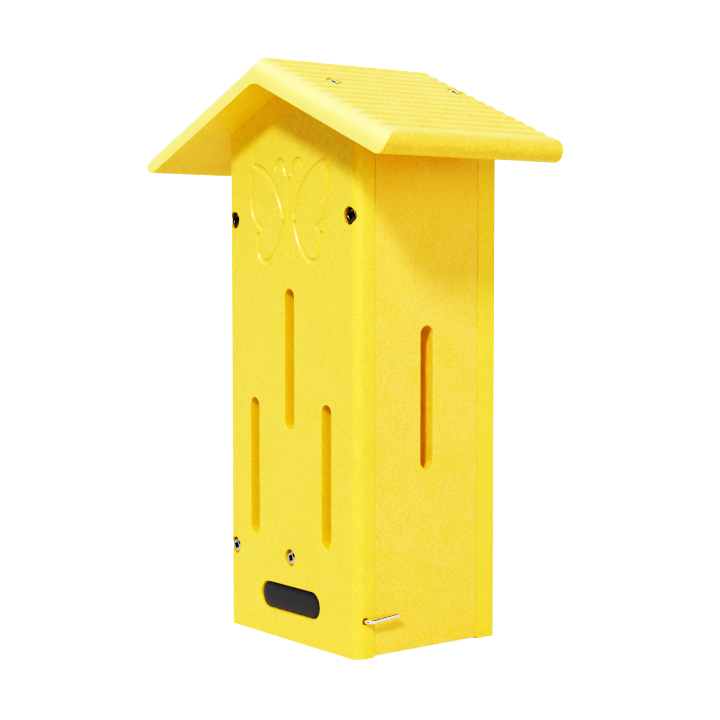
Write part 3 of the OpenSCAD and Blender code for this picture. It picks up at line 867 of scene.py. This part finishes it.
def screw_profile():
    """Half of a screw's outline, from the crown to the point. Its second axis runs down the screw."""
    seat = HEAD_RECESS + HEAD_H
    end = seat + SHANK_LEN
    points = [(0, HEAD_RECESS), (HEAD_R * 0.64, HEAD_RECESS), (HEAD_R * 0.88, HEAD_RECESS + HEAD_H * 0.2),
              (HEAD_R, HEAD_RECESS + HEAD_H * 0.55), (HEAD_R, seat), (SHANK_R, seat),
              (SHANK_R, end - POINT_LEN), (0, end)]
    rounds = [0, 0.6 * MM, 0.4 * MM, 0.4 * MM, 0.1 * MM, 0, 0, 0]
    return link("screw_profile", drawing("screw_profile", [(r, z, 0) for r, z in points], round=rounds))


def screws(tree, profile, name, material, places):
    """One piece of screws: each place gives a node, a point on the board's face, outwards, and a turn."""
    host = drawing("points", [p[1] for p in places], outward=[p[2] for p in places],
                   turn=[math.radians(p[3]) for p in places])
    recess_floor = -(HEAD_RECESS + DRIVE_DEPTH)
    piece = grow(name, host, tree, {
        "Profile": profile, "Steps": 48, "Drive Size": (DRIVE_W, DRIVE_W, 2 * DRIVE_DEPTH),
        "Drive Place": (0, 0, -HEAD_RECESS), "Drive Width": DRIVE_W, "Crown": -HEAD_RECESS,
        "Recess Floor": recess_floor, "Below Floor": recess_floor - 0.1 * MM, "Material": material})
    tidied(piece, HEAD_EASE, math.radians(70))
    dressed(piece, material, "house", [p[0] for p in places])


def fasteners():
    """The twelve screws, as one piece for each finish. The last number is each drive's chance turn."""
    tree, profile = screws_tree(), screw_profile()
    forward, backward = (0, -1, 0), (0, 1, 0)
    screws(tree, profile, "black_screws", black_steel, [
        ("pivot_screw_front", (SIDE_X, FRONT_Y, PIVOT_Z), forward, 30),
        ("pivot_screw_back", (SIDE_X, BACK_Y, PIVOT_Z), backward, 20),
        ("side_screw_front_upper", (-SIDE_X, FRONT_Y, PIVOT_Z), forward, 28),
        ("side_screw_back_upper", (-SIDE_X, BACK_Y, PIVOT_Z), backward, 35)])
    roof_nodes = ["roof_screw_left_front", "roof_screw_left_back", "roof_screw_right_front",
                  "roof_screw_right_back"]
    screws(tree, profile, "zinc_screws", zinc_steel, [
        ("side_screw_front_lower", (-SIDE_X, FRONT_Y, LOW_SCREW_Z), forward, 25),
        ("side_screw_back_lower", (-SIDE_X, BACK_Y, LOW_SCREW_Z), backward, 15),
        ("floor_screw_front", (0, FRONT_Y, LOW_SCREW_Z), forward, 15),
        ("floor_screw_back", (0, BACK_Y, LOW_SCREW_Z), backward, 30)]
        + [(node, place.translation, -place.col[2].xyz, turn)
           for node, place, turn in zip(roof_nodes, roof_screw_places(), (20, 5, 30, 12))])
    bpy.data.objects.remove(profile)


def wire_tree():
    """A bent wire: a round section drawn along a path whose corners are bent to a radius."""
    tree, given = geometry_tree("bent wire", {"Wire Radius": "Float", "Bend Radius": "Float",
                                              "Material": "Material"})
    path = add(tree, "GeometryNodeMeshToCurve", {"Mesh": given["Geometry"]})
    bent = add(tree, "GeometryNodeFilletCurve", {
        "Curve": path.outputs[0], "Count": 16, "Radius": given["Bend Radius"]}, mode="POLY")
    section = add(tree, "GeometryNodeCurvePrimitiveCircle", {
        "Resolution": 40, "Radius": given["Wire Radius"]})
    wire = add(tree, "GeometryNodeCurveToMesh", {
        "Curve": bent.outputs[0], "Profile Curve": section.outputs[0], "Fill Caps": True})
    return finish_tree(tree, wire.outputs[0], given["Material"])


def latch_wire():
    """The latch: a shank in the front panel's edge, and an arm that lies over the door."""
    bend = Vector((HALF_W + LATCH_STAND, LATCH_Y, LATCH_Z))
    arm = Vector((0, math.cos(LATCH_RISE), math.sin(LATCH_RISE))) * LATCH_ARM
    path = [(HALF_W - LATCH_REACH, LATCH_Y, LATCH_Z), bend, bend + arm]
    piece = grow("latch_wire", drawing("latch_path", path), wire_tree(),
                 {"Wire Radius": WIRE_R, "Bend Radius": WIRE_BEND, "Material": bright_wire})
    tidied(piece, WIRE_EASE)
    dressed(piece, bright_wire, "latch", ["latch_hook"])


front_board()
back_board()
left_board()
door_board()
floor_slab()
roof()
badge_pill()
latch_wire()
fasteners()


# Camera, light and stage

def aimed(azimuth, elevation):
    """A direction by its azimuth from the front towards the door's side, and its elevation, in degrees."""
    a, e = math.radians(azimuth), math.radians(elevation)
    return Vector((math.sin(a) * math.cos(e), -math.cos(a) * math.cos(e), math.sin(e)))


def photo_camera():
    """A camera at the photograph's angle and of its perspective."""
    camera = link("camera", bpy.data.cameras.new("camera"))
    camera.location = CAMERA_PLACE
    camera.rotation_mode = "QUATERNION"
    camera.rotation_quaternion = (-aimed(CAMERA_AZIMUTH, CAMERA_ELEVATION)).to_track_quat("-Z", "Y")
    camera.data.sensor_width = SENSOR_MM
    camera.data.lens = FOCAL_PX / PHOTO_PX * SENSOR_MM
    bpy.context.scene.camera = camera


def key_light():
    """The key softbox, high at the front right. It draws the roof's shadow on the door."""
    sun = bpy.data.lights.new("key", "SUN")
    sun.energy = KEY_STRENGTH
    sun.angle = KEY_SIZE
    key = link("key", sun)
    key.rotation_mode = "QUATERNION"
    key.rotation_quaternion = Vector(KEY_TRAVEL).to_track_quat("-Z", "Y")


def soft_boxes():
    """A dark studio with wide soft boxes at its sides, and a white backdrop for the camera."""
    world = bpy.data.worlds.new("studio")
    bpy.context.scene.world = world
    world.use_nodes = True
    tree = world.node_tree
    tree.nodes.clear()
    white = (1, 1, 1, 1)
    direction = add(tree, "ShaderNodeTexCoord").outputs["Generated"]
    studio = add(tree, "ShaderNodeBackground", {"Color": white, "Strength": STUDIO_FILL}).outputs[0]
    for azimuth, elevation, sharpness, strength, colour in SOFT_BOXES:
        towards = add(tree, "ShaderNodeVectorMath", {0: direction, 1: aimed(azimuth, elevation)},
                      operation="DOT_PRODUCT")
        ahead = add(tree, "ShaderNodeMath", {0: towards.outputs["Value"], 1: 0.0}, operation="MAXIMUM")
        shaped = add(tree, "ShaderNodeMath", {0: ahead.outputs[0], 1: sharpness}, operation="POWER")
        level = add(tree, "ShaderNodeMath", {0: shaped.outputs[0], 1: strength}, operation="MULTIPLY")
        box = add(tree, "ShaderNodeBackground", {"Color": linear(colour), "Strength": level.outputs[0]})
        studio = add(tree, "ShaderNodeAddShader", {0: studio, 1: box.outputs[0]}).outputs[0]
    backdrop = add(tree, "ShaderNodeBackground", {"Color": white, "Strength": 1.1 * WHITE_LEVEL})
    camera_ray = add(tree, "ShaderNodeLightPath").outputs["Is Camera Ray"]
    mixed = add(tree, "ShaderNodeMixShader", {0: camera_ray, 1: studio, 2: backdrop.outputs[0]})
    add(tree, "ShaderNodeOutputWorld", {"Surface": mixed.outputs[0]})


def paper_floor():
    """A sheet of pale matt paper, wide enough to reach the horizon, that the camera sees as nearly white."""
    mesh = bpy.data.meshes.new("floor_paper")
    mesh.from_pydata([(x, y, 0) for x, y in ((-1, -1), (1, -1), (1, 1), (-1, 1))], [], [(0, 1, 2, 3)])
    mesh.transform(Matrix.Scale(FLOOR_REACH, 4))
    material, tree, coords, shader = surface("matt_paper", {
        "Base Color": linear("dddddb"), "Roughness": 0.9, "Specular IOR Level": 0.2,
        "Emission Color": (1, 1, 1, 1)})
    fibre = add(tree, "ShaderNodeTexNoise", {"Vector": coords, "Scale": 1 / (1.5 * MM)}).outputs["Fac"]
    bump = add(tree, "ShaderNodeBump", {"Height": fibre, "Strength": 1, "Distance": 0.02 * MM})
    camera_ray = add(tree, "ShaderNodeLightPath").outputs["Is Camera Ray"]
    lift = add(tree, "ShaderNodeMath", {0: camera_ray, 1: FLOOR_LIFT}, operation="MULTIPLY")
    tree.links.new(bump.outputs[0], shader.inputs["Normal"])
    tree.links.new(lift.outputs[0], shader.inputs["Emission Strength"])
    mesh.materials.append(material)
    link("floor_paper", mesh)


def slot_light():
    """Light bounces often enough to fill the slots and the space behind them."""
    bpy.context.scene.cycles.diffuse_bounces = 10
    bpy.context.scene.cycles.max_bounces = 16


def print_tone():
    """The photograph's tone: deep shades lose their blue, and the lit faces are nearly white."""
    view = bpy.context.scene.view_settings
    view.view_transform = "Standard"
    view.use_curve_mapping = True
    mapping = view.curve_mapping
    mapping.white_level = (WHITE_LEVEL,) * 3
    curve = mapping.curves[3]
    for x, y in TONE[1:-1]:
        curve.points.new(x / WHITE_LEVEL, y)
    for point, (x, y) in zip(curve.points, TONE):
        point.location = (x / WHITE_LEVEL, y)
    mapping.update()


photo_camera()
key_light()
soft_boxes()
paper_floor()
slot_light()
print_tone()
